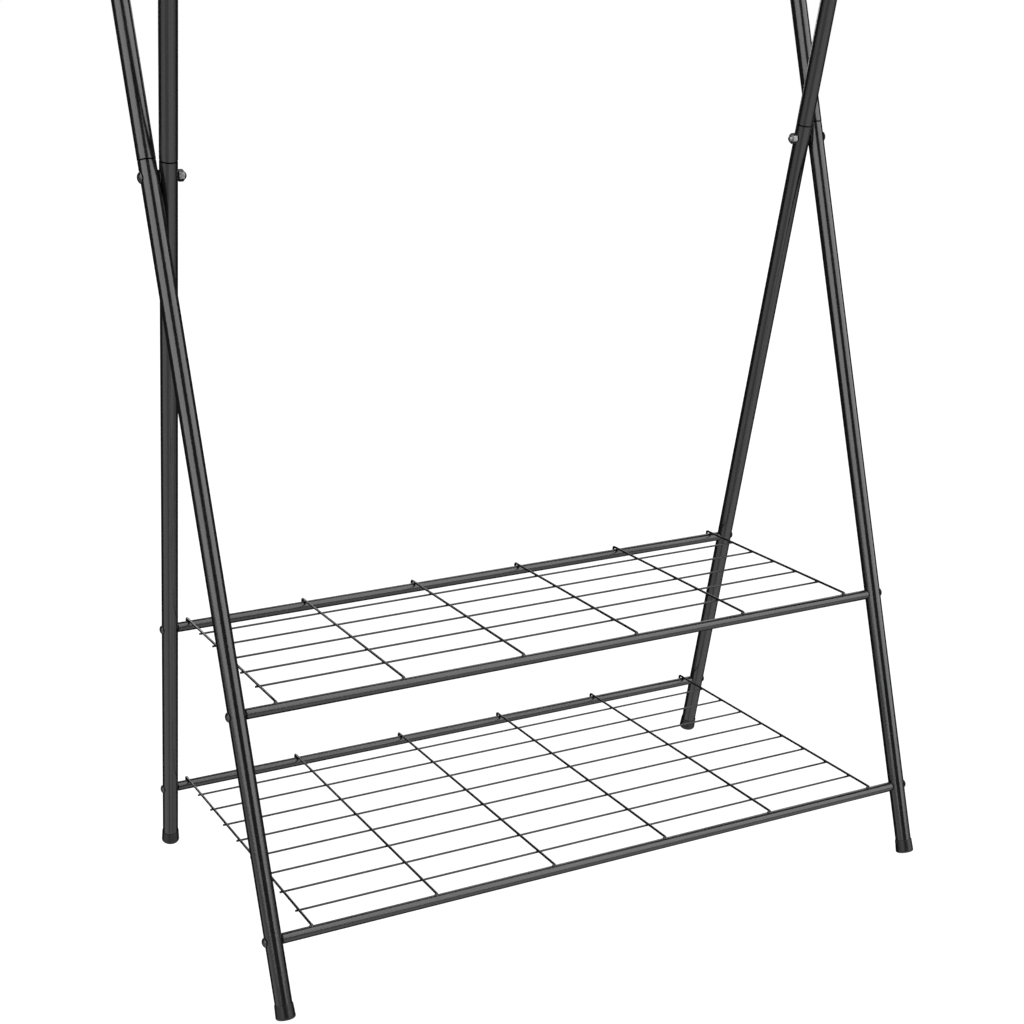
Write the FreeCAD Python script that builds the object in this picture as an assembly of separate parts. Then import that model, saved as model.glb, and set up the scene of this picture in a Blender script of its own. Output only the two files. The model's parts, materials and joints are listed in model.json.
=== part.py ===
import FreeCAD, Part
import math
import os

# Garment rail on an X frame that folds about two pivot bolts, with two wire shelves.
# Millimetres. X runs across the rack, Y from front to back, Z up, floor at Z = 0.
# The outer frame's legs stand at the front and lean back. The inner frame's legs stand at the
# back and lean forward, just inside the outer legs.

# overall sizes
leg_spacing = 944.0            # between the axes of the two outer legs
foot_spread = 564.2            # front leg axis to rear leg axis, where they reach the floor
cross_height = 982.0           # height of the pivot bolts
hanging_rail_height = 1500.0   # height of both hanging rails' axes
leg_above_rail = 26.0          # leg that stands above a hanging rail, along the leg
upper_shelf_height = 366.0     # height of the upper shelf's two rails
lower_shelf_height = 97.5      # height of the lower shelf's two rails

# legs, each of two tubes that plug together above the pivot
lower_leg_od = 22.0
upper_leg_step = 0.2           # how much thicker the upper tube is
leg_wall = 1.0
joint_above_pivot = 20.0       # where the upper tube starts, along the leg
spigot_length = 60.0           # necked end of the lower tube, inside the upper tube
neck_length = 1.2              # cone between the full tube and its spigot
plug_clearance = 0.05          # radial, between parts that are pushed or screwed together

# pivots
pivot_bolt_d = 8.0
pivot_head_d = 14.0
pivot_head_height = 4.0
pivot_socket_flats = 5.0
nut_flats = 13.0
nut_hex_height = 6.5
nut_height = 10.4
nut_dome_step = 0.3            # dome inside the hexagon's flats
nut_dome_wall = 2.5            # left past the blind bore
bolt_end_room = 1.5            # from the bolt's tip to the end of the bore
spacer_od = 16.0
spacer_thickness = 0.7
running_clearance = 0.08       # radial, between a shaft and the hole that it turns in
face_gap = 0.3                 # between faces that slide past each other

# rails across the rack
shelf_rail_od = 13.5
shelf_rail_wall = 1.0
hanging_rail_od = 19.0
hanging_rail_wall = 1.0
insert_length = 26.0           # threaded plug in each rail end
insert_chamfer = 0.8

# screws that hold the rails
screw_d = 6.0
screw_head_d = 12.0
screw_head_height = 3.6
screw_grip = 18.0              # length of screw inside its insert
screw_socket_flats = 4.0
head_rim = 0.9                 # straight edge under a domed head
socket_depth = 2.2
screw_tip_chamfer = 0.6

# wire shelves
cross_wire_d = 3.4             # front to back, on top
long_wire_d = 2.8              # side to side, welded underneath
cross_wire_count = 6
upper_long_wire_count = 5
lower_long_wire_count = 8
cross_wire_margin = 16.0       # outermost cross wire to the inner leg's side
upper_first_wire = 67.0        # front rail axis to the first long wire
lower_first_wire = 48.6
last_wire = 58.7               # last long wire to the rear rail axis
long_wire_stub = 3.5           # long wire past the outermost cross wire
weld_sink = 0.3                # depth that crossing wires are pressed into each other
weld_bead_r = 2.5
hook_bend_r = 3.0              # to the wire's centre line
hook_below_axis = 2.2          # hook tip below the rear rail's axis

# feet and end plugs
foot_height = 18.5
foot_wall = 0.8
foot_flare = 0.8               # extra radius at the floor end
foot_floor = 3.0
foot_edge_r = 2.5
foot_rim_r = 0.4
plug_depth = 16.0
plug_wall = 1.0
plug_cap_height = 3.0
plug_edge_r = 2.0

V = FreeCAD.Vector
X_AXIS = V(1, 0, 0)
Z_AXIS = V(0, 0, 1)

# values worked out from the sizes above
lean = math.atan2(foot_spread / 2, cross_height)
outer_x = leg_spacing / 2
leg_gap = spacer_thickness + face_gap
inner_x = outer_x - lower_leg_od - leg_gap
lower_leg_r = lower_leg_od / 2
upper_leg_r = (lower_leg_od + upper_leg_step) / 2
spigot_r = upper_leg_r - leg_wall - plug_clearance
shelf_rail_r = shelf_rail_od / 2
cross_wire_r = cross_wire_d / 2
long_wire_r = long_wire_d / 2
wire_seat = shelf_rail_r + face_gap + cross_wire_r     # rail axis to cross wire centre
foot_top_r = lower_leg_r + plug_clearance + foot_wall
foot_bottom_r = foot_top_r + foot_flare

# The foot's end is square to its leg, so its rounded edge is what meets the floor.
foot_end_height = (foot_edge_r + (foot_bottom_r - foot_edge_r) * math.sin(lean)
                   - foot_edge_r * math.cos(lean))

OUTER = 1      # leans back towards the top
INNER = -1     # leans forward towards the top


def along_leg(height):
    """Distance up the leg from the pivot to a height."""
    return (height - cross_height) / math.cos(lean)


def leg_y(lean_way, height):
    """Y of a leg's axis at a height."""
    return lean_way * (height - cross_height) * math.tan(lean)


foot_end = along_leg(foot_end_height)
leg_top = along_leg(hanging_rail_height) + leg_above_rail
leg_bottom = foot_end + foot_floor


def on_leg(shape, x, lean_way):
    """Move a shape drawn about the Z axis, with the pivot at zero, onto a leg."""
    turn = FreeCAD.Rotation(X_AXIS, -lean_way * math.degrees(lean))
    placed = shape.copy()
    placed.Placement = FreeCAD.Placement(V(x, 0, cross_height), turn)
    return placed


def turned(points):
    """Solid turned about the Z axis from (radius, height) points; a triple adds a bulge point."""
    edges = []
    last = points[0]
    for point in points[1:] + points[:1]:
        start = V(last[0], 0, last[1])
        end = V(point[0], 0, point[1])
        if len(point) == 4:
            edges.append(Part.Arc(start, V(point[2], 0, point[3]), end).toShape())
        elif start.distanceToPoint(end) > 1e-6:
            edges.append(Part.LineSegment(start, end).toShape())
        last = point
    face = Part.Face(Part.Wire(edges))
    return face.revolve(V(0, 0, 0), Z_AXIS, 360)


def round_corner(centre_r, centre_z, radius, from_deg, to_deg):
    """Arc end point with its middle point, for turned()."""
    middle = math.radians((from_deg + to_deg) / 2)
    end = math.radians(to_deg)
    return (centre_r + radius * math.cos(end), centre_z + radius * math.sin(end),
            centre_r + radius * math.cos(middle), centre_z + radius * math.sin(middle))


def tube_across(y, z, half_length, od, wall):
    """Tube along X, centred on the rack."""
    start = V(-half_length, y, z)
    outside = Part.makeCylinder(od / 2, 2 * half_length, start, X_AXIS)
    inside = Part.makeCylinder(od / 2 - wall, 2 * half_length, start, X_AXIS)
    return outside.cut(inside)


def cross_hole(x, s, diameter):
    """Drill along X through a leg drawn about the Z axis, at s along the leg."""
    return Part.makeCylinder(diameter / 2, 2 * lower_leg_od, V(x - lower_leg_od, 0, s), X_AXIS)


def pointing_outwards(shape, x, y, z, side):
    """Move a shape drawn about the Z axis so that +Z points away from the rack's middle."""
    placed = shape.copy()
    placed.Placement = FreeCAD.Placement(V(x, y, z), FreeCAD.Rotation(Z_AXIS, X_AXIS * side))
    return placed


def save(name, shapes):
    """Write one node, of one solid or several."""
    shape = shapes[0] if len(shapes) == 1 else Part.makeCompound(shapes)
    shape.exportStep("parts/" + name + ".step")


# ---------------------------------------------------------------- legs

def lower_leg(hole_heights):
    """Tube from the foot to the joint, its top necked down to a spigot."""
    shoulder = joint_above_pivot - neck_length
    tip = joint_above_pivot + spigot_length
    bore_r = lower_leg_r - leg_wall
    leg = turned([
        (bore_r, leg_bottom), (lower_leg_r, leg_bottom), (lower_leg_r, shoulder),
        (spigot_r, joint_above_pivot), (spigot_r, tip), (spigot_r - leg_wall, tip),
        (spigot_r - leg_wall, joint_above_pivot), (bore_r, shoulder)])
    leg = leg.cut(cross_hole(0, 0, pivot_bolt_d + 2 * running_clearance))
    for height in hole_heights:
        leg = leg.cut(cross_hole(0, along_leg(height), screw_d + 2 * running_clearance))
    return leg


def upper_leg():
    """Tube from the joint to the top, with the hanging rail's screw hole."""
    bore_r = upper_leg_r - leg_wall
    leg = turned([(bore_r, joint_above_pivot), (upper_leg_r, joint_above_pivot),
                  (upper_leg_r, leg_top), (bore_r, leg_top)])
    hole = cross_hole(0, along_leg(hanging_rail_height), screw_d + 2 * running_clearance)
    return leg.cut(hole)


def foot():
    """Plastic cap pushed onto the lower tube, slightly flared, with a rounded floor edge."""
    bore_r = lower_leg_r + plug_clearance
    top = foot_end + foot_height
    return turned([
        (0, foot_end), (foot_bottom_r - foot_edge_r, foot_end),
        round_corner(foot_bottom_r - foot_edge_r, foot_end + foot_edge_r, foot_edge_r, -90, 0),
        (foot_top_r, top - foot_rim_r),
        round_corner(foot_top_r - foot_rim_r, top - foot_rim_r, foot_rim_r, 0, 90),
        (bore_r, top), (bore_r, leg_bottom), (0, leg_bottom)])


def top_plug():
    """Plastic plug in the leg's open top: a domed cap on a hollow stem."""
    stem_r = upper_leg_r - leg_wall - plug_clearance
    cap_top = leg_top + plug_cap_height
    return turned([
        (0, leg_top), (stem_r - plug_wall, leg_top), (stem_r - plug_wall, leg_top - plug_depth),
        (stem_r, leg_top - plug_depth), (stem_r, leg_top), (upper_leg_r, leg_top),
        (upper_leg_r, cap_top - plug_edge_r),
        round_corner(upper_leg_r - plug_edge_r, cap_top - plug_edge_r, plug_edge_r, 0, 90),
        (0, cap_top)])


# ---------------------------------------------------------------- fasteners

def hexagon(flats, height, base):
    """Hexagonal prism about the Z axis."""
    corner = flats / math.sqrt(3)
    points = [V(corner * math.cos(math.radians(60 * i)), corner * math.sin(math.radians(60 * i)), base)
              for i in range(7)]
    return Part.Face(Part.makePolygon(points)).extrude(V(0, 0, height))


def domed_screw(shank_d, shank_length, head_d, head_height, flats):
    """Round-headed screw about the Z axis: shank below zero, head above."""
    head_r = head_d / 2
    rise = head_height - head_rim
    dome_r = (head_r * head_r + rise * rise) / (2 * rise)
    half_way = math.asin(head_r / dome_r) / 2
    middle_r = dome_r * math.sin(half_way)
    middle_z = head_height - dome_r + dome_r * math.cos(half_way)
    screw = turned([
        (0, -shank_length), (shank_d / 2 - screw_tip_chamfer, -shank_length),
        (shank_d / 2, -shank_length + screw_tip_chamfer), (shank_d / 2, 0), (head_r, 0),
        (head_r, head_rim), (0, head_height, middle_r, middle_z)])
    return screw.cut(hexagon(flats, head_height, head_height - socket_depth))


def cap_nut():
    """Domed nut about the Z axis: seat at zero, dome pointing down, blind bore."""
    flat_r = nut_flats / 2
    corner_r = nut_flats / math.sqrt(3)
    bevel = (corner_r - flat_r) / 2
    blank = turned([
        (0, 0), (flat_r, 0), (corner_r, -bevel), (corner_r, bevel - nut_hex_height),
        (flat_r, -nut_hex_height), (0, -nut_hex_height)])
    hexagonal = hexagon(nut_flats, nut_hex_height, -nut_hex_height).common(blank)
    dome_r = flat_r - nut_dome_step
    dome_centre = dome_r - nut_height
    dome = turned([(0, dome_centre / 2), (dome_r, dome_centre / 2), (dome_r, dome_centre),
                   round_corner(0, dome_centre, dome_r, 0, -90)])
    bore_depth = nut_height - nut_dome_wall
    bore = Part.makeCylinder(pivot_bolt_d / 2 + plug_clearance, bore_depth, V(0, 0, -bore_depth))
    return hexagonal.fuse(dome).cut(bore).removeSplitter()


def insert(rail_bore_d):
    """Threaded plug in a rail end, about the Z axis, its face at zero."""
    outer_r = rail_bore_d / 2 - plug_clearance
    bore_r = screw_d / 2 + plug_clearance
    return turned([
        (bore_r, 0), (outer_r, 0), (outer_r, -insert_length + insert_chamfer),
        (outer_r - insert_chamfer, -insert_length), (bore_r, -insert_length)])


def rail_with_ends(leg_x, leg_r, gap, y, height, od, wall):
    """Rail between two legs, with its two inserts and two screws from the legs' far sides."""
    rail_end = leg_x - leg_r - gap
    head_seat = leg_x + leg_r + gap
    screw = domed_screw(screw_d, head_seat - rail_end + screw_grip, screw_head_d,
                        screw_head_height, screw_socket_flats)
    plug = insert(od - 2 * wall)
    rail = tube_across(y, height, rail_end, od, wall)
    inserts = [pointing_outwards(plug, side * rail_end, y, height, side) for side in (-1, 1)]
    screws = [pointing_outwards(screw, side * head_seat, y, height, side) for side in (-1, 1)]
    return rail, inserts, screws


# ---------------------------------------------------------------- wire shelves

def cross_wire(x, front_y, rear_y, rail_height):
    """Wire welded on the front rail, over the rear rail and hooked down behind it."""
    z = rail_height + wire_seat
    stem_y = rear_y + wire_seat
    bend_y = stem_y - hook_bend_r
    tip_z = rail_height - hook_below_axis
    turn_y = bend_y + hook_bend_r * math.sin(math.radians(45))
    turn_z = z - hook_bend_r + hook_bend_r * math.cos(math.radians(45))
    path = Part.Wire([
        Part.LineSegment(V(x, front_y, z), V(x, bend_y, z)).toShape(),
        Part.Arc(V(x, bend_y, z), V(x, turn_y, turn_z), V(x, stem_y, z - hook_bend_r)).toShape(),
        Part.LineSegment(V(x, stem_y, z - hook_bend_r), V(x, stem_y, tip_z)).toShape()])
    outline = Part.Wire(Part.makeCircle(cross_wire_r, V(x, front_y, z), V(0, 1, 0)))
    wire = path.makePipeShell([outline], True, False)
    # weld bead round the wire's front end, down to the rail
    bead = Part.makeSphere(weld_bead_r, V(x, front_y + cross_wire_r / 2, z - cross_wire_r / 2))
    rail_start = V(x - 4 * weld_bead_r, front_y, rail_height)
    rail = Part.makeCylinder(shelf_rail_r, 8 * weld_bead_r, rail_start, X_AXIS)
    return wire.fuse(bead.cut(rail))


def shelf_wires(rail_height, first_wire, long_count):
    """Cross wires and long wires of one shelf."""
    front_y = leg_y(OUTER, rail_height)
    rear_y = leg_y(INNER, rail_height)
    outermost = inner_x - lower_leg_r - cross_wire_margin
    cross_pitch = 2 * outermost / (cross_wire_count - 1)
    cross = [cross_wire(-outermost + i * cross_pitch, front_y, rear_y, rail_height)
             for i in range(cross_wire_count)]
    half_length = outermost + long_wire_stub
    long_z = rail_height + wire_seat - cross_wire_r - long_wire_r + weld_sink
    long_pitch = (rear_y - front_y - first_wire - last_wire) / (long_count - 1)
    long = [Part.makeCylinder(long_wire_r, 2 * half_length,
                              V(-half_length, front_y + first_wire + i * long_pitch, long_z), X_AXIS)
            for i in range(long_count)]
    return cross, long


# ---------------------------------------------------------------- build

os.makedirs("parts", exist_ok=True)

shelf_heights = (upper_shelf_height, lower_shelf_height)
lower_tube = lower_leg(shelf_heights)
upper_tube = upper_leg()
foot_cap = foot()
plug_cap = top_plug()

for frame_name, foot_name, leg_x, lean_way in (("outer", "front", outer_x, OUTER),
                                               ("inner", "rear", inner_x, INNER)):
    for side_name, side in (("left", -1), ("right", 1)):
        x = side * leg_x
        save(side_name + "_" + frame_name + "_lower_leg", [on_leg(lower_tube, x, lean_way)])
        save(side_name + "_" + frame_name + "_upper_leg", [on_leg(upper_tube, x, lean_way)])
        save(side_name + "_" + foot_name + "_foot", [on_leg(foot_cap, x, lean_way)])
        save(side_name + "_" + frame_name + "_leg_plug", [on_leg(plug_cap, x, lean_way)])

# pivots: head on the outer leg, through both legs, cap nut inside
nut_seat = inner_x - lower_leg_r - face_gap
head_seat = outer_x + lower_leg_r
bolt_in_nut = nut_height - nut_dome_wall - bolt_end_room
pivot_bolt = domed_screw(pivot_bolt_d, head_seat - nut_seat + bolt_in_nut, pivot_head_d,
                         pivot_head_height, pivot_socket_flats)
nut = cap_nut()
spacer = turned([(pivot_bolt_d / 2 + running_clearance, 0), (spacer_od / 2, 0),
                 (spacer_od / 2, spacer_thickness),
                 (pivot_bolt_d / 2 + running_clearance, spacer_thickness)])
spacer_seat = outer_x - lower_leg_r - spacer_thickness
for side_name, side in (("left", -1), ("right", 1)):
    save(side_name + "_pivot_bolt",
         [pointing_outwards(pivot_bolt, side * head_seat, 0, cross_height, side)])
    save(side_name + "_cap_nut", [pointing_outwards(nut, side * nut_seat, 0, cross_height, side)])
    save(side_name + "_pivot_spacer",
         [pointing_outwards(spacer, side * spacer_seat, 0, cross_height, side)])

# hanging rails: the rear one between the outer legs, the front one between the inner legs
for name, leg_x, lean_way in (("rear_hanging_rail", outer_x, OUTER),
                              ("front_hanging_rail", inner_x, INNER)):
    rail, inserts, screws = rail_with_ends(
        leg_x, upper_leg_r, 0, leg_y(lean_way, hanging_rail_height), hanging_rail_height,
        hanging_rail_od, hanging_rail_wall)
    save(name, [rail])
    save(name + "_inserts", inserts)
    save(name + "_screws", screws)

# shelf rails and wires: the front rail turns in the outer legs with its shelf, and the rear
# rail is fixed between the inner legs
for name, height, first_wire, long_count in (
        ("upper_shelf", upper_shelf_height, upper_first_wire, upper_long_wire_count),
        ("lower_shelf", lower_shelf_height, lower_first_wire, lower_long_wire_count)):
    for place, leg_x, lean_way, gap in (("front", outer_x, OUTER, face_gap),
                                        ("rear", inner_x, INNER, 0)):
        rail, inserts, screws = rail_with_ends(
            leg_x, lower_leg_r, gap, leg_y(lean_way, height), height, shelf_rail_od, shelf_rail_wall)
        save(name + "_" + place + "_rail", [rail])
        save(name + "_" + place + "_inserts", inserts)
        save(name + "_" + place + "_screws", screws)
    cross, long = shelf_wires(height, first_wire, long_count)
    save(name + "_cross_wires", cross)
    save(name + "_long_wires", long)
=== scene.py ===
import json
import math

import bpy
import numpy as np
from mathutils import Matrix, Vector


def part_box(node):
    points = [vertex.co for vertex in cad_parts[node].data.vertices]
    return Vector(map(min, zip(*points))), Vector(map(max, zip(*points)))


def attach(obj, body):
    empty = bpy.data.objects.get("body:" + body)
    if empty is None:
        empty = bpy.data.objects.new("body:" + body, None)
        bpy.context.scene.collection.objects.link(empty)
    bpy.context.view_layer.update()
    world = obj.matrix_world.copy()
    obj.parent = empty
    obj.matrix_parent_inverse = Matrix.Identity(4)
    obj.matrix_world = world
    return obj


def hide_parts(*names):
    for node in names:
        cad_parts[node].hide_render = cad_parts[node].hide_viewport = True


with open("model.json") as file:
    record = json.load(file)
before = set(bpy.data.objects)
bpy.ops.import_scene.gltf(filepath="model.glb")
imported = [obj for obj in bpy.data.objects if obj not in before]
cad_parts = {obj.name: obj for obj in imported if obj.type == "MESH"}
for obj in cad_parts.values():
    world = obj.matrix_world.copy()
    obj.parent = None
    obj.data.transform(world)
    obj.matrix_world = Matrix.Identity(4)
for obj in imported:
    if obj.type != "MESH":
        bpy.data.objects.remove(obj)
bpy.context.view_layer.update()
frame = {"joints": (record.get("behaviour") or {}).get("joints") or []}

mm = 0.001


# places, all from the frame

def middleOf(node):
    low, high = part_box(node)
    return np.array((low + high) / 2)


def extentOf(node):
    low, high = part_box(node)
    return np.array(high - low)


def highOf(node):
    return np.array(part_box(node)[1])


def lowOf(node):
    return np.array(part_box(node)[0])


foldJoint = [joint for joint in frame["joints"] if joint["name"] == "fold"][0]
pivotHeight = foldJoint["pos_m"][2]
rearHangingRail = middleOf("rear_hanging_rail")
lean = math.atan2(rearHangingRail[1], rearHangingRail[2] - pivotHeight)
outerX = middleOf("right_outer_lower_leg")[0]
innerX = middleOf("right_inner_lower_leg")[0]
lowerLegRadius = extentOf("right_outer_lower_leg")[0] / 2
upperLegRadius = extentOf("right_outer_upper_leg")[0] / 2
acrossRack = np.array((1.0, 0.0, 0.0))


def legAxis(leanWay):  # leanWay 1 leans back towards the top, -1 leans forward
    return np.array((0.0, leanWay * math.sin(lean), math.cos(lean)))


def alongLeg(node, radius, top):
    """Distance from the pivot to a node's top or bottom end, measured up the leg: its box's height, less
    the tilt of a round end, over the cosine of the lean."""
    height = highOf(node)[2] if top else lowOf(node)[2]
    tilt = radius * math.sin(lean)
    return (height - pivotHeight + (-tilt if top else tilt)) / math.cos(lean)


# surfaces

def gridFaces(rows, columns, loopRows=False):
    """Quads between neighbouring rows of a grid whose columns close into a ring."""
    row = np.arange(rows if loopRows else rows - 1)[:, None]
    column = np.arange(columns)[None, :]
    nextRow = (row + 1) % rows
    nextColumn = (column + 1) % columns
    corners = (row * columns + column, row * columns + nextColumn,
               nextRow * columns + nextColumn, nextRow * columns + column)
    return np.stack(corners, -1).reshape(-1, 4)


def poleFaces(rows, columns):
    """Triangles from the two poles, numbered after the grid, to its first and last rings."""
    column = np.arange(columns)
    after = (column + 1) % columns
    bottom = np.stack((np.full(columns, rows * columns), after, column), -1)
    last = (rows - 1) * columns
    top = np.stack((np.full(columns, rows * columns + 1), last + column, last + after), -1)
    return np.concatenate((bottom, top))


def ringShell(rings, edge, poles=None):
    """A closed shell from rings of points, ended by two poles or, without them, closed back on its first
    ring."""
    rows, columns = rings.shape[:2]
    points = rings.reshape(-1, 3)
    # edge per ring: above 0 worn edges, below 0 painted shade
    worn = np.repeat(edge, columns)
    if poles is None:
        return points, gridFaces(rows, columns, True), np.zeros((0, 3), int), worn
    points = np.concatenate((points, poles))
    worn = np.concatenate((worn, (0.0, 0.0)))
    return points, gridFaces(rows, columns), poleFaces(rows, columns), worn


def turned(profile, spot, axis, around=48, hollow=False, limit=None):
    """A profile of (radius, height, edge) rows turned about an axis. A point is
    spot + height * axis + radius * (cos(turn) * side + sin(turn) * across).
    A solid's profile starts and ends on the axis; a hollow one closes on itself. limit caps the radius at
    each turn."""
    side = acrossRack if abs(axis[0]) < 0.5 else np.array((0.0, 1.0, 0.0))
    across = np.cross(axis, side)
    turn = np.linspace(0, 2 * math.pi, around, endpoint=False)[:, None]
    outward = np.cos(turn) * side + np.sin(turn) * across
    rows = profile if hollow else profile[1:-1]
    radius = np.broadcast_to(rows[:, 0:1], (len(rows), around))
    if limit is not None:
        radius = np.minimum(radius, limit[None, :])
    rings = spot + rows[:, None, 1:2] * axis + radius[:, :, None] * outward[None]
    poles = None if hollow else spot + profile[[0, -1], 1:2] * axis
    return ringShell(rings, rows[:, 2], poles)


flatShare = 0.3     # most of a run that the row beside a rounded corner may take
endSteps = 4        # rings in a wire's rounded end
sharpAngle = 38     # degrees between faces, above which their shared edge is shaded sharp


def softCorners(corners, closed=False, steps=5):
    """A profile of (radius, height, edge) rows from corners (radius, height, rounding). Each rounded corner
    becomes an arc that touches both of its runs, with one more row a little way along each run, so the long
    faces stay flat."""
    count = len(corners)
    places = np.array([corner[:2] for corner in corners], float)
    rows = []
    for i, corner in enumerate(corners):
        rounding = corner[2] if len(corner) > 2 else 0
        here = places[i]
        if rounding == 0 or (not closed and i in (0, count - 1)):
            rows.append((*here, 0.0))
            continue
        back = places[i - 1] - here
        ahead = places[(i + 1) % count] - here
        backLength, aheadLength = np.linalg.norm(back), np.linalg.norm(ahead)
        back, ahead = back / backLength, ahead / aheadLength
        half = math.acos(np.clip(back @ ahead, -1, 1)) / 2
        touch = rounding / math.tan(half)
        centre = here + (back + ahead) / np.linalg.norm(back + ahead) * rounding / math.sin(half)
        start = here + back * touch - centre
        end = here + ahead * touch - centre
        first = math.atan2(start[1], start[0])
        sweep = math.remainder(math.atan2(end[1], end[0]) - first, 2 * math.pi)
        angle = first + sweep * np.linspace(0, 1, steps)
        arc = centre + rounding * np.stack((np.cos(angle), np.sin(angle)), -1)
        room = min(rounding, flatShare * backLength, flatShare * aheadLength)
        rows.append((*(arc[0] + back * room), 0.0))
        rows += [(*point, 1.0) for point in arc]
        rows.append((*(arc[-1] + ahead * room), 0.0))
    return np.array(rows)


def swept(path, headings, radius, binormal, edge, around):
    """A round wire of one radius carried along a flat path, its ends cut square and rounded by edge. A point
    is path + radius * (cos(turn) * binormal + sin(turn) * (heading x binormal))."""
    bend = np.linspace(math.pi / 2, 0, endSteps)
    inset = edge * (1 - np.sin(bend))[:, None]
    narrowed = radius - edge * (1 - np.cos(bend))
    spine = np.concatenate((path[0] + inset * headings[0], path[1:-1],
                            (path[-1] - inset * headings[-1])[::-1]))
    heading = np.concatenate((np.tile(headings[0], (endSteps, 1)), headings[1:-1],
                              np.tile(headings[-1], (endSteps, 1))))
    radii = np.concatenate((narrowed, np.full(len(path) - 2, radius), narrowed[::-1]))
    worn = np.concatenate((np.ones(endSteps), np.zeros(len(path) - 2), np.ones(endSteps)))
    turn = np.linspace(0, 2 * math.pi, around, endpoint=False)
    lift = np.cross(heading, binormal)
    ring = np.cos(turn)[None, :, None] * binormal + np.sin(turn)[None, :, None] * lift[:, None, :]
    rings = spine[:, None, :] + radii[:, None, None] * ring
    return ringShell(rings, worn, np.stack((path[0], path[-1])))


def addPiece(name, shells, finish, body, replaced):
    """One named piece from one shell or several, riding on a body in place of its CAD nodes. A row's edge
    above 0 is wear, and below 0 painted shade: that recess is drawn black and gives back no light."""
    offsets = np.cumsum([0] + [len(shell[0]) for shell in shells])
    points = np.concatenate([shell[0] for shell in shells])
    quads = np.concatenate([shell[1] + offset for shell, offset in zip(shells, offsets)])
    triangles = np.concatenate([shell[2] + offset for shell, offset in zip(shells, offsets)])
    mesh = bpy.data.meshes.new(name)
    mesh.from_pydata(points.tolist(), [], quads.tolist() + triangles.tolist())
    mesh.shade_smooth()
    mesh.set_sharp_from_angle(angle=math.radians(sharpAngle))
    worn = mesh.attributes.new("edge", "FLOAT", "POINT")
    edges = np.concatenate([shell[3] for shell in shells]).astype(np.float32)
    worn.data.foreach_set("value", np.maximum(edges, 0))
    # painted shade: 1 at points in a shaded recess, which the finish draws black
    paintedShade = mesh.attributes.new("paintedShade", "FLOAT", "POINT")
    paintedShade.data.foreach_set("value", np.maximum(-edges, 0))
    mesh.materials.append(finish)
    piece = bpy.data.objects.new(name, mesh)
    bpy.context.scene.collection.objects.link(piece)
    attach(piece, body)
    if replaced:
        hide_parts(*replaced)
    return piece


# finishes

number = "NodeSocketFloat"


def addGroup(name, inputs, outputs):
    group = bpy.data.node_groups.new(name, "ShaderNodeTree")
    for title, kind, value in inputs:
        socket = group.interface.new_socket(name=title, in_out="INPUT", socket_type=kind)
        if value is not None:
            socket.default_value = value
    for title, kind in outputs:
        group.interface.new_socket(name=title, in_out="OUTPUT", socket_type=kind)
    return group, group.nodes.new("NodeGroupInput"), group.nodes.new("NodeGroupOutput")


def addNode(tree, kind, settings=None, **inputs):
    """A node with its settings, and its inputs given as values or as sockets to link."""
    node = tree.nodes.new(kind)
    for key, value in (settings or {}).items():
        setattr(node, key, value)
    for key, value in inputs.items():
        socket = node.inputs[int(key[1:])] if key[0] == "_" else node.inputs[key.replace("_", " ")]
        if isinstance(value, bpy.types.NodeSocket):
            tree.links.new(value, socket)
        else:
            socket.default_value = value
    return node


grainValues = {
    "peelDetail": 2.0, "peelRoughness": 0.55,
    "gritDetail": 3.0, "gritRoughness": 0.7, "gritHeight": 0.35,
    "cloudScale": 14.0, "cloudDetail": 2.0,
    "fleckTop": 0.8, "fleckFade": 0.25,    # grit level for no cover, and how far a fleck fades in
}
wearValues = {"scale": 650.0, "detail": 3.0, "from": 0.42, "to": 0.68}


def buildCoatGrain():
    """Powder coat: soft orange peel, a fine grit and pale flecks where grains stand proud."""
    grain = grainValues
    group, given, out = addGroup(
        "coatGrain",
        [("Vector", "NodeSocketVector", None), ("Peel Scale", number, 420.0), ("Grit Scale", number, 1500.0),
         ("Fleck Cover", number, 0.4)],
        [("Fleck", number), ("Cloud", number), ("Height", number)])
    peel = addNode(group, "ShaderNodeTexNoise", Vector=given.outputs["Vector"],
                   Scale=given.outputs["Peel Scale"], Detail=grain["peelDetail"],
                   Roughness=grain["peelRoughness"])
    grit = addNode(group, "ShaderNodeTexNoise", Vector=given.outputs["Vector"],
                   Scale=given.outputs["Grit Scale"], Detail=grain["gritDetail"],
                   Roughness=grain["gritRoughness"])
    cloud = addNode(group, "ShaderNodeTexNoise", Vector=given.outputs["Vector"], Scale=grain["cloudScale"],
                    Detail=grain["cloudDetail"])
    cover = addNode(group, "ShaderNodeMath", {"operation": "SUBTRACT"}, _0=grain["fleckTop"],
                    _1=given.outputs["Fleck Cover"])
    top = addNode(group, "ShaderNodeMath", {"operation": "ADD"}, _0=cover.outputs[0], _1=grain["fleckFade"])
    fleck = addNode(group, "ShaderNodeMapRange", Value=grit.outputs["Fac"], From_Min=cover.outputs[0],
                    From_Max=top.outputs[0])
    small = addNode(group, "ShaderNodeMath", {"operation": "MULTIPLY"}, _0=grit.outputs["Fac"],
                    _1=grain["gritHeight"])
    height = addNode(group, "ShaderNodeMath", {"operation": "ADD"}, _0=peel.outputs["Fac"],
                     _1=small.outputs[0])
    group.links.new(fleck.outputs[0], out.inputs["Fleck"])
    group.links.new(cloud.outputs["Fac"], out.inputs["Cloud"])
    group.links.new(height.outputs[0], out.inputs["Height"])
    return group


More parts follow.
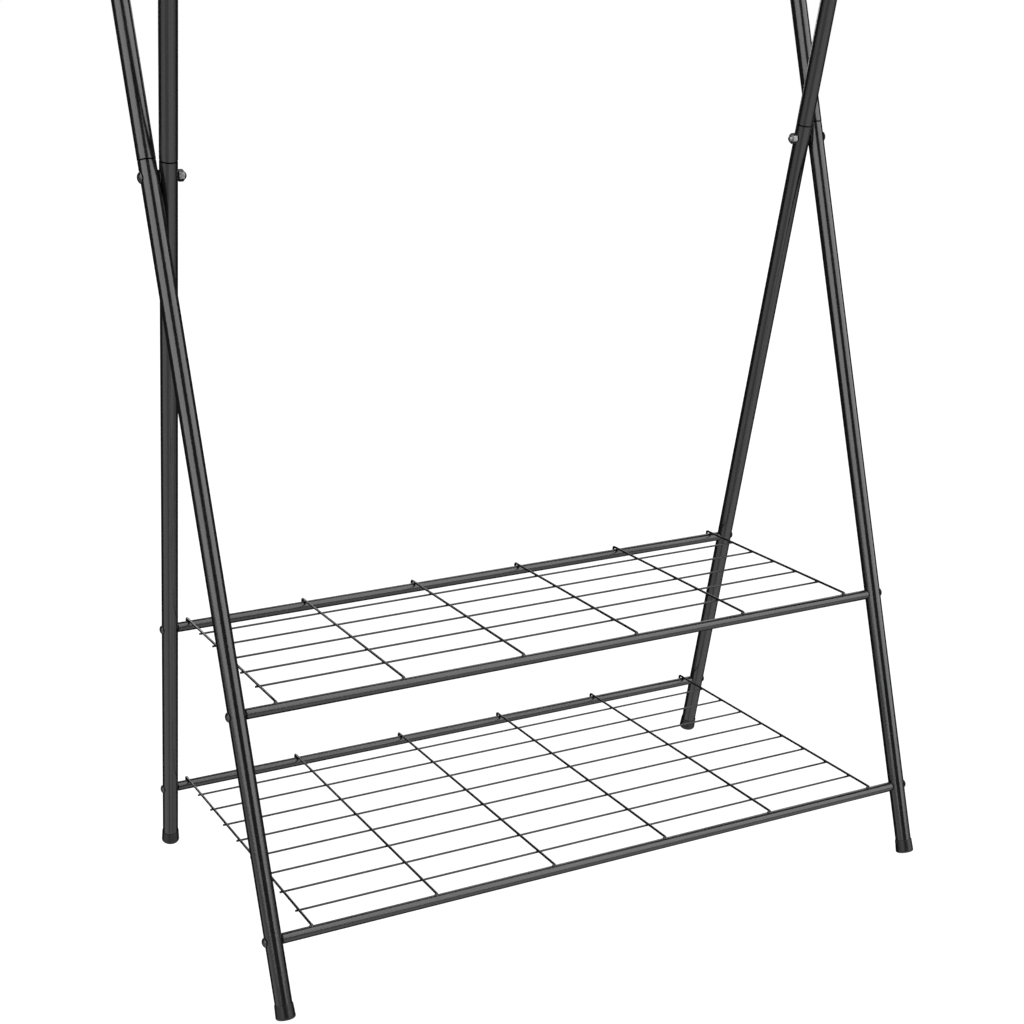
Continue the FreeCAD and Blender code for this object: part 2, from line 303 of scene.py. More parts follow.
def buildEdgeWear():
    """Rubbed edges: the mesh's own edge attribute, broken up by noise."""
    group, given, out = addGroup(
        "edgeWear", [("Vector", "NodeSocketVector", None), ("Amount", number, 0.5)], [("Worn", number)])
    edge = addNode(group, "ShaderNodeAttribute", {"attribute_name": "edge"})
    breaks = addNode(group, "ShaderNodeTexNoise", Vector=given.outputs["Vector"], Scale=wearValues["scale"],
                     Detail=wearValues["detail"])
    patchy = addNode(group, "ShaderNodeMapRange", Value=breaks.outputs["Fac"], From_Min=wearValues["from"],
                     From_Max=wearValues["to"])
    both = addNode(group, "ShaderNodeMath", {"operation": "MULTIPLY"}, _0=edge.outputs["Fac"],
                   _1=patchy.outputs[0])
    worn = addNode(group, "ShaderNodeMath", {"operation": "MULTIPLY", "use_clamp": True}, _0=both.outputs[0],
                   _1=given.outputs["Amount"])
    group.links.new(worn.outputs[0], out.inputs["Worn"])
    return group


coatGrain = buildCoatGrain()
edgeWear = buildEdgeWear()


def blackFinish(name, values):
    """A dark coated or moulded finish: base colour with paler flecks and worn edges, a little uneven gloss,
    relief from the grain, and painted shade in recesses: black and fully metallic there, so they give back no
    light."""
    finish = bpy.data.materials.new(name)
    finish.use_nodes = True
    tree = finish.node_tree
    shader = tree.nodes["Principled BSDF"]
    place = addNode(tree, "ShaderNodeTexCoord")
    grain = addNode(tree, "ShaderNodeGroup", {"node_tree": coatGrain}, Vector=place.outputs["Object"],
                    Peel_Scale=values["peelScale"], Grit_Scale=values["gritScale"],
                    Fleck_Cover=values["fleckCover"])
    wear = addNode(tree, "ShaderNodeGroup", {"node_tree": edgeWear}, Vector=place.outputs["Object"],
                   Amount=values["wear"])
    flecked = addNode(tree, "ShaderNodeMix", {"data_type": "RGBA"}, _0=grain.outputs["Fleck"],
                      _6=(*values["colour"], 1), _7=(*values["fleckColour"], 1))
    coloured = addNode(tree, "ShaderNodeMix", {"data_type": "RGBA"}, _0=wear.outputs["Worn"],
                       _6=flecked.outputs[2], _7=(*values["wornColour"], 1))
    # painted shade: where the mask is 1 the base colour goes black and metallic goes to 1, so no light comes
    # back
    paintedShade = addNode(tree, "ShaderNodeAttribute", {"attribute_name": "paintedShade"})
    shaded = addNode(tree, "ShaderNodeMix", {"data_type": "RGBA"}, _0=paintedShade.outputs["Fac"],
                     _6=coloured.outputs[2], _7=(0, 0, 0, 1))
    tree.links.new(shaded.outputs[2], shader.inputs["Base Color"])
    metal = addNode(tree, "ShaderNodeMath", {"operation": "MAXIMUM"}, _0=paintedShade.outputs["Fac"],
                    _1=values["metallic"])
    tree.links.new(metal.outputs[0], shader.inputs["Metallic"])
    low, high = values["roughness"]
    gloss = addNode(tree, "ShaderNodeMapRange", Value=grain.outputs["Cloud"], From_Min=0.3, From_Max=0.7,
                    To_Min=low, To_Max=high)
    tree.links.new(gloss.outputs[0], shader.inputs["Roughness"])
    relief = addNode(tree, "ShaderNodeBump", Strength=values["relief"], Distance=values["reliefDepth"],
                     Height=grain.outputs["Height"])
    tree.links.new(relief.outputs["Normal"], shader.inputs["Normal"])
    shader.inputs["Specular IOR Level"].default_value = values["specular"]
    return finish


coatValues = {"colour": (0.0045, 0.0045, 0.0048), "fleckColour": (0.035, 0.035, 0.036),
              "wornColour": (0.03, 0.03, 0.03), "peelScale": 420.0, "gritScale": 1500.0, "fleckCover": 0.27,
              "wear": 0.3, "roughness": (0.13, 0.2), "relief": 0.6, "reliefDepth": 0.00016, "metallic": 0.0,
              "specular": 0.62}
powderCoat = blackFinish("powderCoat", coatValues)
wireCoat = blackFinish("wireCoat", {**coatValues, "peelScale": 700.0, "gritScale": 2200.0, "relief": 0.35,
                                      "specular": 0.45})
fastenerValues = {**coatValues, "colour": (0.006, 0.006, 0.0065), "fleckColour": (0.025, 0.025, 0.026),
                  "wornColour": (0.16, 0.155, 0.15), "peelScale": 1500.0, "gritScale": 4000.0,
                  "wear": 0.8, "roughness": (0.2, 0.32), "relief": 0.2, "reliefDepth": 0.00005,
                  "specular": 0.5}
blackZinc = blackFinish("blackZinc", fastenerValues)
nutZinc = blackFinish("nutZinc", {**fastenerValues, "colour": (0.19, 0.19, 0.195),
                                  "fleckColour": (0.3, 0.3, 0.305), "wornColour": (0.3, 0.3, 0.3),
                                  "metallic": 1.0, "roughness": (0.3, 0.42)})
zincPlate = blackFinish("zincPlate", {**fastenerValues, "colour": (0.42, 0.43, 0.44),
                                      "fleckColour": (0.52, 0.53, 0.54), "wornColour": (0.62, 0.62, 0.62),
                                      "metallic": 1.0, "roughness": (0.28, 0.42)})
footValues = {**coatValues, "colour": (0.005, 0.005, 0.005), "fleckColour": (0.013, 0.013, 0.013),
              "wornColour": (0.03, 0.03, 0.029), "peelScale": 1100.0, "gritScale": 3200.0,
              "wear": 0.6, "roughness": (0.28, 0.38), "relief": 0.5, "reliefDepth": 0.00008, "specular": 0.32}
footPlastic = blackFinish("footPlastic", footValues)
plugPlastic = blackFinish("plugPlastic", {**footValues, "roughness": (0.4, 0.52)})
spacerNylon = blackFinish("spacerNylon", {**footValues, "colour": (0.014, 0.014, 0.014),
                                          "roughness": (0.42, 0.55)})
print("finishes made")


# legs

legShape = {
    "wall": 1.0 * mm,
    "spigot": 60.0 * mm,          # necked length inside the upper tube
    "neck": 1.2 * mm,
    "plugClearance": 0.05 * mm,
    "endRounding": 0.35 * mm,     # powder softens each cut end
    "neckRounding": 0.5 * mm,
    "paintedShadeReach": 0.2 * mm,      # painted shade reaches this far past each side of the neck
    "around": 64,
}
legTop = alongLeg("right_outer_upper_leg", upperLegRadius, True)
legJoint = alongLeg("right_outer_upper_leg", upperLegRadius, False)
legBottom = alongLeg("right_outer_lower_leg", lowerLegRadius, False)


def lowerLegProfile():
    """Outside of the tube up to its neck, the spigot, then back down the bore."""
    shape = legShape
    wall, ends, neck = shape["wall"], shape["endRounding"], shape["neckRounding"]
    spigot = upperLegRadius - wall - shape["plugClearance"]
    tip = legJoint + shape["spigot"]
    shoulder = legJoint - shape["neck"]
    rows = softCorners([
        (lowerLegRadius, legBottom, ends), (lowerLegRadius, shoulder, neck), (spigot, legJoint, neck),
        (spigot, tip, ends), (spigot - wall, tip, ends), (spigot - wall, legJoint, neck),
        (lowerLegRadius - wall, shoulder, neck), (lowerLegRadius - wall, legBottom, ends)], closed=True)
    # painted shade: rows in the neck and just past it are marked -1 and drawn black
    inPaintedShade = np.abs(rows[:, 1] - (legJoint + shoulder) / 2) < shape["neck"] / 2 + shape["paintedShadeReach"]
    rows[inPaintedShade, 2] = -1
    return rows


def upperLegProfile():
    """Outside of the tube from the joint to its top, then back down the bore."""
    wall, ends = legShape["wall"], legShape["endRounding"]
    rows = softCorners([
        (upperLegRadius, legJoint, ends), (upperLegRadius, legTop, ends),
        (upperLegRadius - wall, legTop, ends), (upperLegRadius - wall, legJoint, ends)], closed=True)
    # painted shade: the end of the tube beside the neck is marked -1 and drawn black
    rows[rows[:, 1] < legJoint + legShape["paintedShadeReach"], 2] = -1
    return rows


legFrames = (("outer", "outer_frame", "front", outerX, 1), ("inner", "inner_frame", "rear", innerX, -1))
sides = (("left", -1), ("right", 1))


def pieceName(node):
    words = node.split("_")
    return words[0] + "".join(word.capitalize() for word in words[1:])


def addLegs():
    for frameName, body, _, legX, leanWay in legFrames:
        axis = legAxis(leanWay)
        for sideName, side in sides:
            spot = np.array((side * legX, 0, pivotHeight))
            for part, profile in (("lower_leg", lowerLegProfile()), ("upper_leg", upperLegProfile())):
                node = f"{sideName}_{frameName}_{part}"
                tube = turned(profile, spot, axis, legShape["around"], hollow=True)
                addPiece(pieceName(node), [tube], powderCoat, body, [node])


addLegs()
print("legs made")


# feet and leg plugs

footShape = {
    "wall": 0.8 * mm,
    "clearance": 0.05 * mm,
    "height": 18.5 * mm,
    "flare": 0.8 * mm,
    "floor": 3.0 * mm,
    "edge": 2.5 * mm,
    "rim": 0.4 * mm,
    "treadRadius": 6.0 * mm,      # shallow dish under the foot
    "treadDepth": 0.7 * mm,
    "around": 64,
}
plugShape = {
    "wall": 1.0 * mm,
    "clearance": 0.05 * mm,
    "depth": 16.0 * mm,
    "cap": 3.0 * mm,
    "edge": 2.0 * mm,
    "dish": 0.25 * mm,            # moulded dimple in the cap's middle
    "dishRadius": 2.2 * mm,
    "around": 64,
}


def footProfile():
    """From the dished tread out to the rounded floor edge, up the tapering wall, over the rim and down the
    bore."""
    shape = footShape
    bore = lowerLegRadius + shape["clearance"]
    topRadius = bore + shape["wall"]
    bottomRadius = topRadius + shape["flare"]
    end = legBottom - shape["floor"]
    top = end + shape["height"]
    tread, depth = shape["treadRadius"], shape["treadDepth"]
    return softCorners([
        (0, end + depth), (tread - depth, end + depth, 0.3 * mm), (tread, end, 0.3 * mm),
        (bottomRadius, end, shape["edge"]), (topRadius, top, shape["rim"]), (bore, top, 0.25 * mm),
        (bore, legBottom, 0.3 * mm), (0, legBottom)])


def plugProfile():
    """A cup inside the tube under a rounded cap, from its floor down, up its stem and over to the dimple."""
    shape = plugShape
    stem = upperLegRadius - legShape["wall"] - shape["clearance"]
    top = legTop + shape["cap"]
    dish = shape["dishRadius"]
    return softCorners([
        (0, legTop), (stem - shape["wall"], legTop, 0.2 * mm),
        (stem - shape["wall"], legTop - shape["depth"], 0.2 * mm), (stem, legTop - shape["depth"], 0.3 * mm),
        (stem, legTop, 0.0), (upperLegRadius, legTop, 0.3 * mm), (upperLegRadius, top, shape["edge"]),
        (dish, top, 0.3 * mm), (dish - shape["dish"], top - shape["dish"], 0.2 * mm),
        (0, top - shape["dish"])])


def addFeetAndPlugs():
    for frameName, body, footPlace, legX, leanWay in legFrames:
        axis = legAxis(leanWay)
        for sideName, side in sides:
            spot = np.array((side * legX, 0, pivotHeight))
            node = f"{sideName}_{footPlace}_foot"
            foot = turned(footProfile(), spot, axis, footShape["around"])
            addPiece(pieceName(node), [foot], footPlastic, body, [node])
            node = f"{sideName}_{frameName}_leg_plug"
            plug = turned(plugProfile(), spot, axis, plugShape["around"])
            addPiece(pieceName(node), [plug], plugPlastic, body, [node])


addFeetAndPlugs()
print("feet and leg plugs made")


# fasteners

def hexagonRadius(flats, around):
    """Distance to a hexagon's side at each turn: half the flats over the cosine of the turn from that side's
    middle."""
    turn = np.linspace(0, 2 * math.pi, around, endpoint=False)
    sixth = math.pi / 3
    return flats / 2 / np.cos((turn + sixth / 2) % sixth - sixth / 2)


screwShape = {
    "rim": 0.9 * mm,              # straight edge under the dome
    "rimRounding": 0.25 * mm,
    "socketDepth": 2.2 * mm,
    "socketChamfer": 0.35 * mm,
    "tip": 0.6 * mm,
    "collar": 0.15 * mm,          # shank flares by this under the head
    "collarLength": 0.4 * mm,
    "domeSteps": 12,
    "domeEase": 0.8,              # below 1 puts more of the dome's rings near its rim
    "wallSteps": 4,
    "socketDish": 0.25 * mm,      # socket floor falls twice this to its middle
    "around": 72,
}


def socketScrew(seat, outward, headRadius, headHeight, socketFlats, shankRadius, shankLength):
    """A domed head on a shank. The dome falls from its top as a circle's arc to the rim, and its middle turns
    into a hexagon: each ring's radius runs from the hexagon's to the circle's as it moves out."""
    shape = screwShape
    around = shape["around"]
    turn = np.linspace(0, 2 * math.pi, around, endpoint=False)
    side = np.array((0.0, 1.0, 0.0))
    across = np.cross(outward, side)
    ring = np.cos(turn)[:, None] * side + np.sin(turn)[:, None] * across
    hexagon = hexagonRadius(socketFlats, around)
    rim, soft, tip = shape["rim"], shape["rimRounding"], shape["tip"]
    rise = headHeight - rim
    domeRadius = (headRadius ** 2 + rise ** 2) / (2 * rise)
    domeDrop = domeRadius - rise
    domeSteps, wallSteps = shape["domeSteps"], shape["wallSteps"]
    shankHeights = [-shankLength, -shankLength + tip, -shape["collarLength"], 0.0]
    shankRadii = [shankRadius - tip, shankRadius, shankRadius, shankRadius + shape["collar"]]
    underHeights = [0.0, 0.0, soft * 0.3, soft, rim * 0.9]
    underRadii = [headRadius * 0.7, headRadius - soft, headRadius - soft * 0.3, headRadius, headRadius]
    heights = np.array(shankHeights + underHeights)
    radii = np.array(shankRadii + underRadii)
    rings = np.tile(radii[:, None], (1, around))
    levels = np.tile(heights[:, None], (1, around))
    blend = np.linspace(1, 0, domeSteps)[:, None] ** shape["domeEase"]
    mouth = hexagon + shape["socketChamfer"]
    domeRing = mouth + blend * (headRadius - mouth)
    domeLevel = np.sqrt(np.maximum(domeRadius ** 2 - domeRing ** 2, 0)) - domeDrop + rim
    mouthLevel = domeLevel[-1] - shape["socketChamfer"] * 0.8
    floor = headHeight - shape["socketDepth"]
    wallLevel = np.linspace(1, 0, wallSteps)[:, None] * (mouthLevel - floor) + floor
    floorRing = hexagon * np.array((0.97, 0.5))[:, None]
    floorLevel = np.full((2, around), floor) - np.array((0.0, shape["socketDish"]))[:, None]
    rings = np.concatenate((rings, domeRing, np.tile(hexagon, (wallSteps, 1)), floorRing))
    levels = np.concatenate((levels, domeLevel, wallLevel, floorLevel))
    points = seat + levels[:, :, None] * outward + rings[:, :, None] * ring[None]
    edge = np.zeros(len(points))
    edge[len(heights) - 3:len(heights) + 1] = 1
    socketMouth = len(heights) + domeSteps
    edge[socketMouth - 2:socketMouth + 1] = 1
    poles = np.stack((seat - shankLength * outward, seat + (floor - 2 * shape["socketDish"]) * outward))
    return ringShell(points, edge, poles)


nutShape = {
    "flats": 13.0 * mm,
    "hexHeight": 6.5 * mm,
    "domeStep": 0.3 * mm,
    "bevel": 0.5 * mm,            # turned corner at both ends of the hexagon
    "blunt": 0.12 * mm,
    "boreRadius": 4.05 * mm,
    "domeWall": 2.5 * mm,         # past the end of the bore
    "around": 72,
}


def capNut(seat, inward, height):
    """A hexagon cut by a bevelled turning, with a domed end and a blind bore: radius = the lesser of the
    turning's and the hexagon's, so each corner gets its curved bevel."""
    shape = nutShape
    flat = shape["flats"] / 2
    corner = flat / math.cos(math.pi / 6)
    bevel, hexTop = shape["bevel"], shape["hexHeight"]
    domeRadius = flat - shape["domeStep"]
    domeCentre = height - domeRadius
    domeStart = math.sqrt(domeRadius ** 2 - max(hexTop - domeCentre, 0) ** 2)
    boreDepth = height - shape["domeWall"]
    angle = np.linspace(0, math.pi / 2, 14)[:-1]
    dome = np.stack((domeRadius * np.cos(angle), domeCentre + domeRadius * np.sin(angle)), -1)
    outline = [(0, boreDepth + 1 * mm, 0), (shape["boreRadius"], boreDepth, 0),
               (shape["boreRadius"], 0.5 * mm, 0), (shape["boreRadius"] + 0.5 * mm, 0, 0),
               (flat, 0, 0), (flat + bevel * 0.5, bevel * 0.28, 0.6),
               (corner - shape["blunt"], bevel, 1), (corner - shape["blunt"], hexTop / 2, 0.3),
               (corner - shape["blunt"], hexTop - bevel, 1), (flat + bevel * 0.5, hexTop - bevel * 0.28, 0.6),
               (flat - 0.05 * mm, hexTop, 0.4), (domeStart + 0.08 * mm, hexTop + 0.02 * mm, 0),
               (domeStart, hexTop + 0.12 * mm, 0)]
    profile = np.array(outline + [(*row, 0) for row in dome if row[1] > hexTop + 0.3 * mm]
                       + [(0, height, 0)])
    around = shape["around"]
    return turned(profile, seat, inward, around, limit=hexagonRadius(shape["flats"], around))


pivotShape = {
    "headHeight": 4.0 * mm,
    "boltSocket": 5.0 * mm,
    "boltRadius": 4.0 * mm,
    "spacerBore": 4.08 * mm,
    "spacerRounding": 0.2 * mm,
    "spacerAround": 48,
}


def addPivots():
    """On each side a bolt through both legs, a cap nut on its inner end and a washer between the legs."""
    shape = pivotShape
    boltLow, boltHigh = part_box("right_pivot_bolt")
    headRadius = (boltHigh[2] - boltLow[2]) / 2
    headHeight = shape["headHeight"]
    bore, soft = shape["spacerBore"], shape["spacerRounding"]
    for sideName, side in sides:
        outward = side * acrossRack
        spot = np.array((0, 0, pivotHeight))
        node = f"{sideName}_pivot_bolt"
        seatX = boltHigh[0] - headHeight
        bolt = socketScrew(spot + seatX * outward, outward, headRadius, headHeight, shape["boltSocket"],
                           shape["boltRadius"], seatX - boltLow[0])
        addPiece(pieceName(node), [bolt], blackZinc, "outer_frame", [node])
        node = f"{sideName}_cap_nut"
        nutLow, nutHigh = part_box("right_cap_nut")
        nut = capNut(spot + nutHigh[0] * outward, -outward, nutHigh[0] - nutLow[0])
        addPiece(pieceName(node), [nut], nutZinc, "outer_frame", [node])
        node = f"{sideName}_pivot_spacer"
        low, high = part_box("right_pivot_spacer")
        radius = (high[2] - low[2]) / 2
        thickness = high[0] - low[0]
        washer = turned(softCorners([(radius, 0, soft), (radius, thickness, soft), (bore, thickness, soft),
                                     (bore, 0, soft)], closed=True),
                        spot + low[0] * outward, outward, shape["spacerAround"], hollow=True)
        addPiece(pieceName(node), [washer], spacerNylon, "outer_frame", [node])


addPivots()
print("pivots made")


# rails, with their inserts and screws

railShape = {
    "wall": 1.0 * mm,
    "endRounding": 0.3 * mm,
    "clearance": 0.05 * mm,
    "insertLength": 26.0 * mm,
    "insertChamfer": 0.8 * mm,
    "insertBore": 3.05 * mm,
    "screwRadius": 3.0 * mm,
    "screwHeadHeight": 3.6 * mm,
    "screwSocket": 4.0 * mm,
    "screwReach": 18 * mm,        # into the rail, past its end
    "around": 48,
}


def addRail(railNode, insertNode, screwNode, body):
    """A tube across the rack with an insert in each end and a screw into each from the leg's far side."""
    shape = railShape
    low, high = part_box(railNode)
    middle = middleOf(railNode)
    radius = (high[2] - low[2]) / 2
    bore = radius - shape["wall"]
    half = high[0]
    ends = shape["endRounding"]
    tube = turned(softCorners([(radius, -half, ends), (radius, half, ends), (bore, half, ends),
                               (bore, -half, ends)], closed=True),
                  middle, acrossRack, shape["around"], hollow=True)
    addPiece(pieceName(railNode), [tube], powderCoat, body, [railNode])
    snug, length = bore - shape["clearance"], shape["insertLength"]
    chamfer = shape["insertChamfer"]
    screwLow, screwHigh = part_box(screwNode)
    seatX = screwHigh[0] - shape["screwHeadHeight"]
    headRadius = (screwHigh[2] - screwLow[2]) / 2
    inserts, screws = [], []
    for side in (-1, 1):
        outward = side * acrossRack
        end = middle + half * outward
        inserts.append(turned(softCorners([
            (shape["insertBore"], -length, 0.2 * mm), (snug - chamfer, -length, 0.2 * mm),
            (snug, -length + chamfer, 0.2 * mm), (snug, 0, 0.3 * mm), (shape["insertBore"], 0, 0.3 * mm)],
            closed=True), end, outward, shape["around"], hollow=True))
        screws.append(socketScrew(middle + seatX * outward, outward, headRadius,
                                  shape["screwHeadHeight"], shape["screwSocket"], shape["screwRadius"],
                                  seatX - half + shape["screwReach"]))
    addPiece(pieceName(insertNode), inserts, zincPlate, body, [insertNode])
    addPiece(pieceName(screwNode), screws, blackZinc, body, [screwNode])


for railName, body in (("rear_hanging_rail", "outer_frame"), ("front_hanging_rail", "inner_frame")):
    addRail(railName, railName + "_inserts", railName + "_screws", body)
for shelf in ("upper_shelf", "lower_shelf"):
    for place, body in (("front", shelf), ("rear", "inner_frame")):
        start = f"{shelf}_{place}"
        addRail(start + "_rail", start + "_inserts", start + "_screws", body)
print("rails made")


# wire shelves

wireShape = {
    "crossCount": 6,
    "longCount": {"upper_shelf": 5, "lower_shelf": 8},
    "crossRadius": 1.7 * mm,
    "longRadius": 1.4 * mm,
    "stub": 3.5 * mm,             # long wire past the outermost cross wire
    "seatGap": 0.3 * mm,          # cross wire's underside above the rails
    "bendRadius": 3.0 * mm,
    "hookBelow": 2.2 * mm,        # hook tip below the rear rail's axis
    "cutEdge": 0.35 * mm,
    "runSteps": 24,               # along a cross wire
    "bendSteps": 12,
    "stemSteps": 5,
    "longSteps": 40,
    "around": 16,
}


def crossWirePath(x, frontY, rearY, railHeight, seat):
    """Straight back over both rails, a quarter turn down and a short stem behind the rear rail."""
    shape = wireShape
    z = railHeight + seat
    bend = shape["bendRadius"]
    stemY = rearY + seat
    bendY = stemY - bend
    run = np.linspace(0, 1, shape["runSteps"])[:, None]
    straight = np.array((x, frontY, z)) + run * np.array((0, bendY - frontY, 0))
    angle = np.linspace(0, math.pi / 2, shape["bendSteps"])[1:, None]
    turn = np.array((x, bendY, z - bend)) + bend * np.concatenate(
        (np.zeros_like(angle), np.sin(angle), np.cos(angle)), 1)
    tip = np.array((x, stemY, railHeight - shape["hookBelow"]))
    stem = turn[-1] + np.linspace(0, 1, shape["stemSteps"])[1:, None] * (tip - turn[-1])
    path = np.concatenate((straight, turn, stem))
    headings = np.concatenate((
        np.tile((0.0, 1.0, 0.0), (len(straight), 1)),
        np.concatenate((np.zeros_like(angle), np.cos(angle), -np.sin(angle)), 1),
        np.tile((0.0, 0.0, -1.0), (len(stem), 1))))
    return path, headings


weldShape = {
    "nugget": (2.0, 1.9, 1.1),     # half sizes in mm, at a crossing
    "nuggetSteps": (8, 5),         # around, and from pole to pole
    "nuggetSpread": 0.15,          # size varies by this part either way
    # bead round a cross wire's front end: radius and height from the wire's centre, in mm
    "bead": ((0, -3.5), (3.4, -3.4), (3.3, -2.6), (2.75, -1.7), (2.3, -0.7), (1.95, 0.4), (1.2, 1.25),
             (0, 1.6)),
    "beadAround": 14,
    "beadRipple": 0.08,
    "beadWaves": (2, 3, 4),        # how many of each wave go round a bead
    "beadPhase": 6.28,
}


def nugget(spot, halfSizes):
    """A small ellipsoid: each half size times the unit sphere's point."""
    around, steps = weldShape["nuggetSteps"]
    turn = np.linspace(0, 2 * math.pi, around, endpoint=False)[None, :]
    tilt = np.linspace(math.pi, 0, steps + 1)[1:-1, None]
    unit = np.stack((np.sin(tilt) * np.cos(turn), np.sin(tilt) * np.sin(turn), np.cos(tilt) + 0 * turn), -1)
    poles = np.array(((0, 0, -1.0), (0, 0, 1.0)))
    return ringShell(spot + unit * halfSizes, np.zeros(steps - 1), spot + poles * halfSizes)


def weldBead(spot, random):
    """A mound that spreads onto the rail. Its radius is the profile's times one plus small waves round it."""
    shape = weldShape
    around = shape["beadAround"]
    turn = np.linspace(0, 2 * math.pi, around, endpoint=False)
    waves = sum(random.normal() / k * np.cos(k * turn + random.uniform(0, shape["beadPhase"]))
                for k in shape["beadWaves"])
    profile = np.array(shape["bead"]) * mm
    radius = profile[1:-1, 0:1] * (1 + shape["beadRipple"] * waves)[None, :]
    ring = np.stack((np.cos(turn), np.sin(turn), 0 * turn), -1)
    upward = np.array((0, 0, 1.0))
    rings = spot + radius[:, :, None] * ring[None] + profile[1:-1, 1][:, None, None] * upward
    return ringShell(rings, np.zeros(len(rings)), spot + profile[[0, -1], 1:2] * upward)


def addShelfWires(shelf):
    """Cross wires on top, long wires welded under them, and the welds at every crossing and on the rail."""
    shape = wireShape
    crossNode, longNode = shelf + "_cross_wires", shelf + "_long_wires"
    front, rear = middleOf(shelf + "_front_rail"), middleOf(shelf + "_rear_rail")
    railRadius = extentOf(shelf + "_front_rail")[2] / 2
    seat = railRadius + shape["seatGap"] + shape["crossRadius"]
    outermost = lowOf(longNode)[0]
    crossX = np.linspace(-1, 1, shape["crossCount"]) * (-outermost - shape["stub"])
    crossWires = []
    for x in crossX:
        path, headings = crossWirePath(x, front[1], rear[1], front[2], seat)
        crossWires.append(swept(path, headings, shape["crossRadius"], acrossRack, shape["cutEdge"],
                                shape["around"]))
    addPiece(pieceName(crossNode), crossWires, wireCoat, shelf, [crossNode])
    low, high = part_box(longNode)
    radius = shape["longRadius"]
    rows = np.linspace(low[1] + radius, high[1] - radius, shape["longCount"][shelf])
    run = np.linspace(low[0], high[0], shape["longSteps"])
    longWires = []
    for y in rows:
        path = np.stack((run, np.full_like(run, y), np.full_like(run, high[2] - radius)), -1)
        headings = np.tile((1.0, 0.0, 0.0), (len(run), 1))
        longWires.append(swept(path, headings, radius, np.array((0.0, 1.0, 0.0)), shape["cutEdge"],
                               shape["around"]))
    addPiece(pieceName(longNode), longWires, wireCoat, shelf, [longNode])
    random = np.random.default_rng(len(rows))
    contact = front[2] + seat - shape["crossRadius"]
    halfSizes, spread = np.array(weldShape["nugget"]) * mm, weldShape["nuggetSpread"]
    nuggets = [nugget(np.array((x, y, contact)), halfSizes * (1 + spread * random.uniform(-1, 1)))
               for x in crossX for y in rows]
    addPiece(pieceName(shelf) + "Nuggets", nuggets, wireCoat, shelf, [])
    beads = [weldBead(np.array((x, front[1] + shape["crossRadius"] / 2, front[2] + seat)), random)
             for x in crossX]
    addPiece(pieceName(shelf) + "WeldBeads", beads, wireCoat, shelf, [])


for shelf in ("upper_shelf", "lower_shelf"):
    addShelfWires(shelf)
print("wire shelves made")


# floor, light and camera

def plainMaterial(name):
    finish = bpy.data.materials.new(name)
    finish.use_nodes = True
    finish.node_tree.nodes.clear()
    return finish, finish.node_tree


floorShape = {"size": 400.0, "albedo": 0.1, "lift": 1.0}


def addFloor():
    """A pale floor to the camera, clear to every other ray, so that the object reflects no floor."""
    half = floorShape["size"] / 2
    mesh = bpy.data.meshes.new("floor")
    corners = [(-half, -half, 0), (half, -half, 0), (half, half, 0), (-half, half, 0)]
    mesh.from_pydata(corners, [], [(0, 1, 2, 3)])
    floor = bpy.data.objects.new("floor", mesh)
    bpy.context.scene.collection.objects.link(floor)
    finish, tree = plainMaterial("paleFloor")
    path = addNode(tree, "ShaderNodeLightPath")
    pale = addNode(tree, "ShaderNodeBsdfDiffuse", Color=(*[floorShape["albedo"]] * 3, 1))
    lift = addNode(tree, "ShaderNodeEmission", Color=(1, 1, 1, 1), Strength=floorShape["lift"])
    seen = addNode(tree, "ShaderNodeAddShader", _0=pale.outputs[0], _1=lift.outputs[0])
    clear = addNode(tree, "ShaderNodeBsdfTransparent")
    mix = addNode(tree, "ShaderNodeMixShader", _0=path.outputs["Is Camera Ray"], _1=clear.outputs[0],
                  _2=seen.outputs[0])
    addNode(tree, "ShaderNodeOutputMaterial", Surface=mix.outputs[0])
    mesh.materials.append(finish)


room = {"strength": 0.012}


def addWorld():
    """White to the camera, and an almost dark room to everything else."""
    world = bpy.data.worlds.new("studio")
    world.use_nodes = True
    tree = world.node_tree
    tree.nodes.clear()
    path = addNode(tree, "ShaderNodeLightPath")
    white = addNode(tree, "ShaderNodeBackground", Color=(1, 1, 1, 1), Strength=1.0)
    dim = addNode(tree, "ShaderNodeBackground", Color=(1, 1, 1, 1), Strength=room["strength"])
    mix = addNode(tree, "ShaderNodeMixShader", _0=path.outputs["Is Camera Ray"], _1=dim.outputs[0],
                  _2=white.outputs[0])
    addNode(tree, "ShaderNodeOutputWorld", Surface=mix.outputs[0])
    bpy.context.scene.world = world


# azimuth from the front towards the left, elevation of the middle, width and height as angles, brightness
softboxes = {
    "leftSoftbox": (66, 17.5, 64, 42, 3.1),
    "rightSoftbox": (-46, 21.5, 60, 51, 3.1),
    "topSoftbox": (-20, 70, 50, 46, 3.0),
    "leftFloorCard": (60, -39, 104, 66, 0.6),
    "leftFloorGlow": (86, -34, 46, 40, 0.45),
    "rightFloorCard": (-36, -39, 84, 66, 0.65),
    "rightFloorGlow": (-30, -34, 38, 40, 0.5),
    "backSoftbox": (220, 26, 40, 40, 1.6),
    "backStrip": (177, 14, 26, 22, 3.5),
}
softboxDistance = 12.0
softboxAim = (0, 0, 0.6)


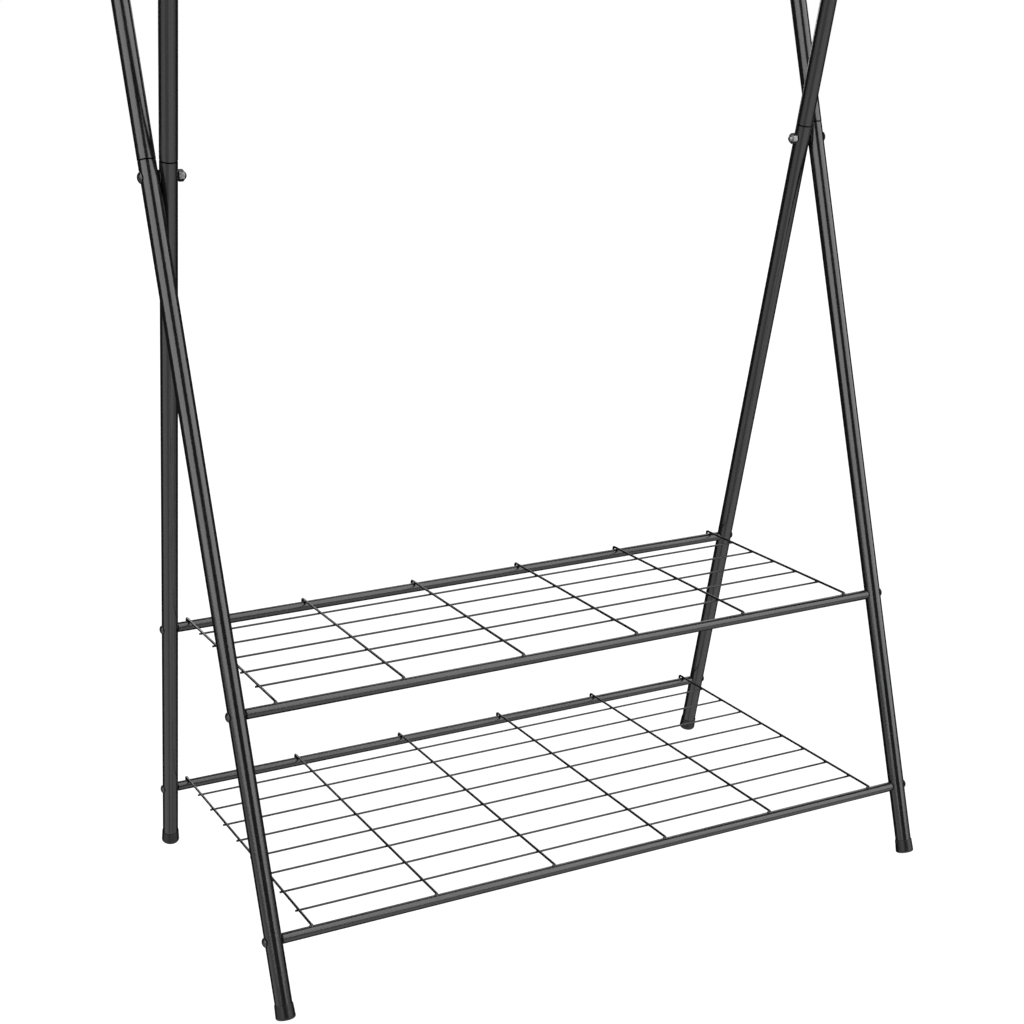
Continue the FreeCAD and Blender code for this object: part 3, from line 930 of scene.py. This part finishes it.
def addSoftbox(name, azimuth, elevation, width, height, radiance):
    """A rectangle of light facing the rack. Its side is twice the distance times the tangent of half its
    angle."""
    turn, rise = math.radians(azimuth), math.radians(elevation)
    away = Vector((-math.sin(turn) * math.cos(rise), -math.cos(turn) * math.cos(rise), math.sin(rise)))
    light = bpy.data.lights.new(name, "AREA")
    light.shape = "RECTANGLE"
    light.size = 2 * softboxDistance * math.tan(math.radians(width / 2))
    light.size_y = 2 * softboxDistance * math.tan(math.radians(height / 2))
    light.energy = radiance * math.pi * light.size * light.size_y
    box = bpy.data.objects.new(name, light)
    box.visible_camera = False
    box.matrix_world = Matrix.Translation(Vector(softboxAim) + away * softboxDistance) @ (
        away.to_track_quat("Z", "Y").to_matrix().to_4x4())
    bpy.context.scene.collection.objects.link(box)


view = {"azimuth": 27.34, "elevation": 20.35, "roll": -0.86, "place": (-1.0790, -2.1778, 1.1893),
        "lens": 64.653, "sensor": 36.0, "shift": (-0.03854, 0.14835), "farthest": 1000.0}


def addCamera():
    azimuth, elevation, roll = (math.radians(view[key]) for key in ("azimuth", "elevation", "roll"))
    ahead = Vector((math.sin(azimuth) * math.cos(elevation), math.cos(azimuth) * math.cos(elevation),
                    -math.sin(elevation)))
    right = Vector((math.cos(azimuth), -math.sin(azimuth), 0))
    up = right.cross(ahead)
    rightRolled = right * math.cos(roll) + up * math.sin(roll)
    upRolled = up * math.cos(roll) - right * math.sin(roll)
    lens = bpy.data.cameras.new("camera")
    lens.lens = view["lens"]
    lens.sensor_width = view["sensor"]
    lens.shift_x, lens.shift_y = view["shift"]
    lens.clip_end = view["farthest"]
    camera = bpy.data.objects.new("camera", lens)
    turn = Matrix((rightRolled, upRolled, -ahead)).transposed().to_4x4()
    camera.matrix_world = Matrix.Translation(view["place"]) @ turn
    bpy.context.scene.collection.objects.link(camera)
    bpy.context.scene.camera = camera


addFloor()
addWorld()
for boxName, values in softboxes.items():
    addSoftbox(boxName, *values)
addCamera()
bpy.context.scene.view_settings.view_transform = "Standard"
print("stage made")
